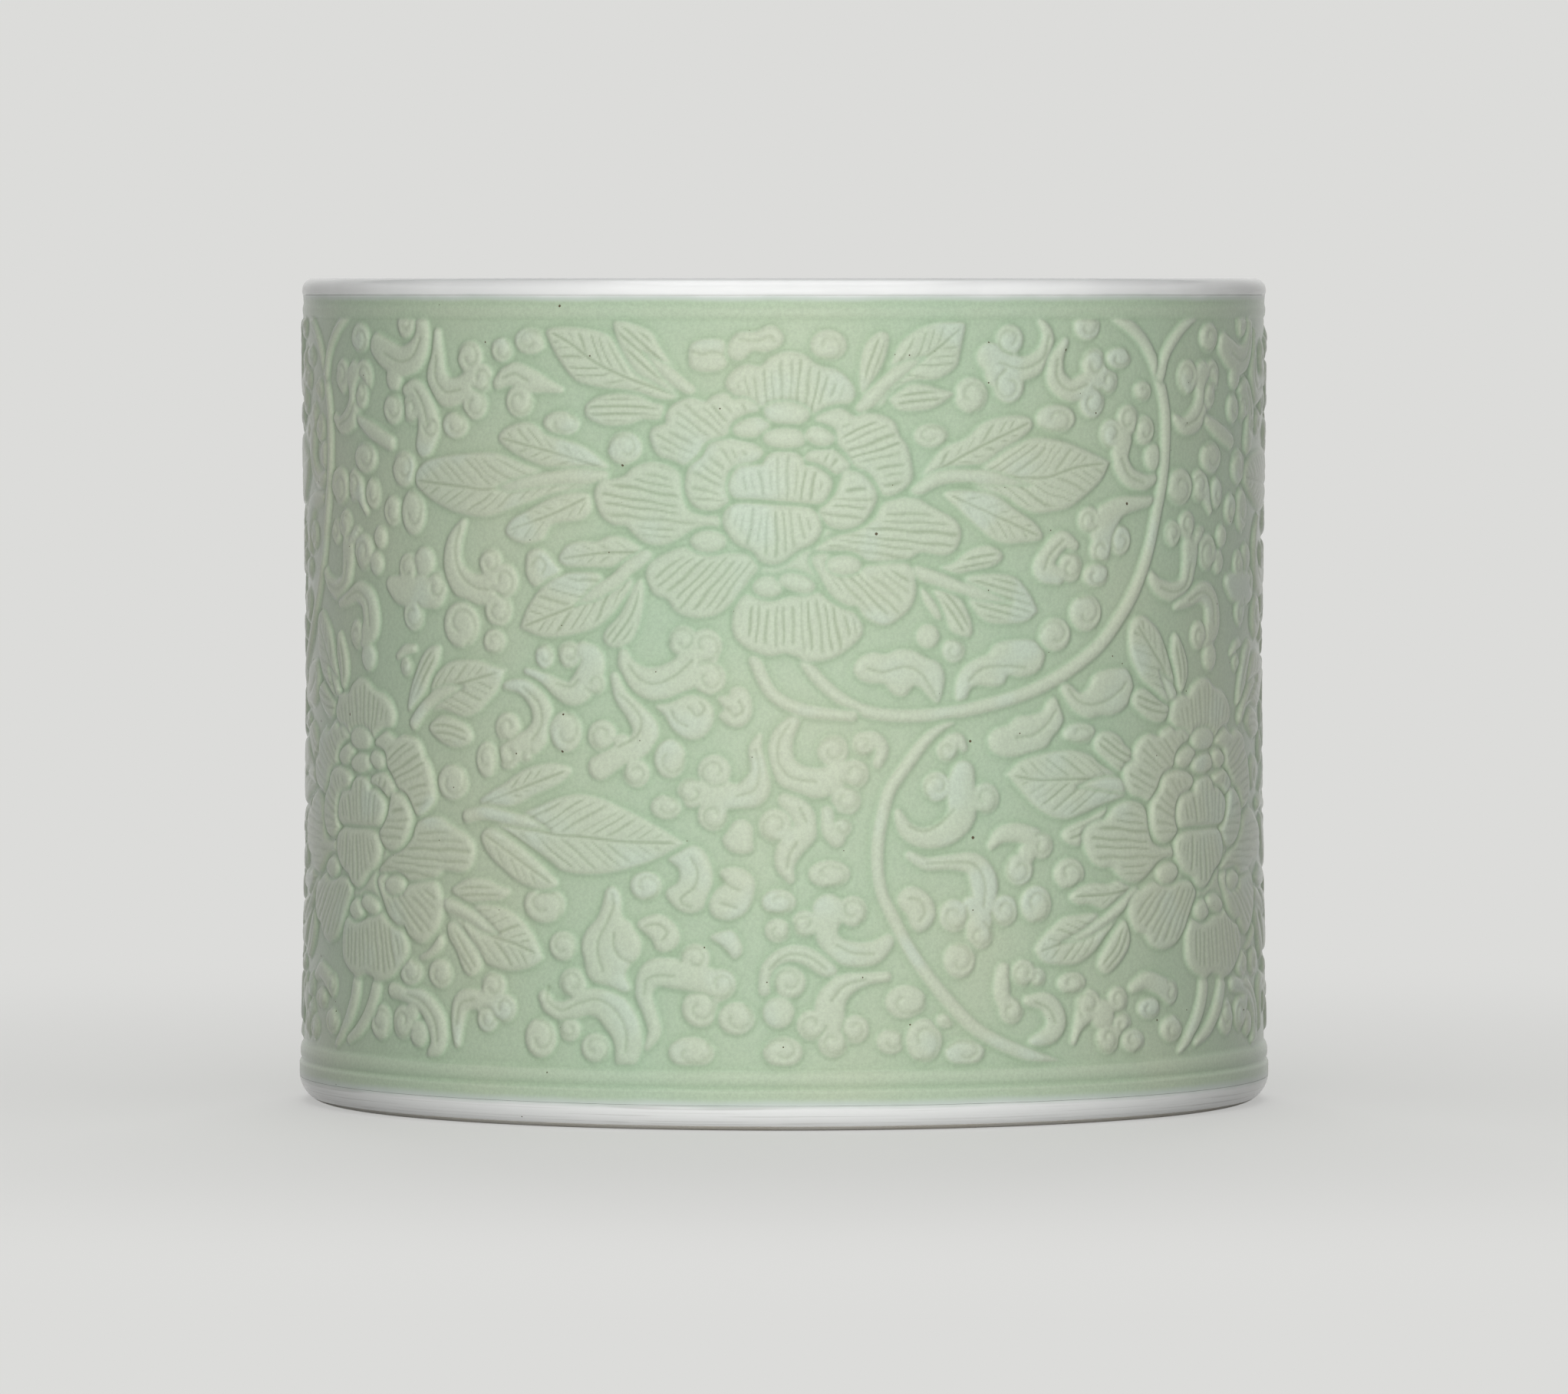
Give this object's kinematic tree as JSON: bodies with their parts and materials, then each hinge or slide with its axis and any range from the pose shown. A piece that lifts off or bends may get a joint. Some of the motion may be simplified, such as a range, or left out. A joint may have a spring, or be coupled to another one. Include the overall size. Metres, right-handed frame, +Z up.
{
  "type": "brush pot",
  "caption": "Wide cylindrical porcelain brush pot with a carved green-glazed wall between a white lip and foot, open at the top and glazed white inside.",
  "frame": {"origin": "middle of the standing surface, on the plane that the pot stands on", "axes": "+Z up along the pot's own axis, towards the open mouth; the carved bloom high on the wall faces -Y"},
  "size_m": [0.1914, 0.1914, 0.162],
  "materials": {
    "bare_porcelain": "fired porcelain without glaze, matt and slightly cream",
    "green_glaze": "pale green glaze, glossy, deeper green where it pools beside the carving",
    "white_glaze": "clear white glaze, glossy, with faint turning lines"
  },
  "bodies": {
    "root": {"porcelain_body": "bare_porcelain", "celadon_glaze": "green_glaze", "lip_glaze": "white_glaze", "lining_glaze": "white_glaze", "foot_glaze": "white_glaze", "base_glaze": "white_glaze"}
  },
  "joints": []
}
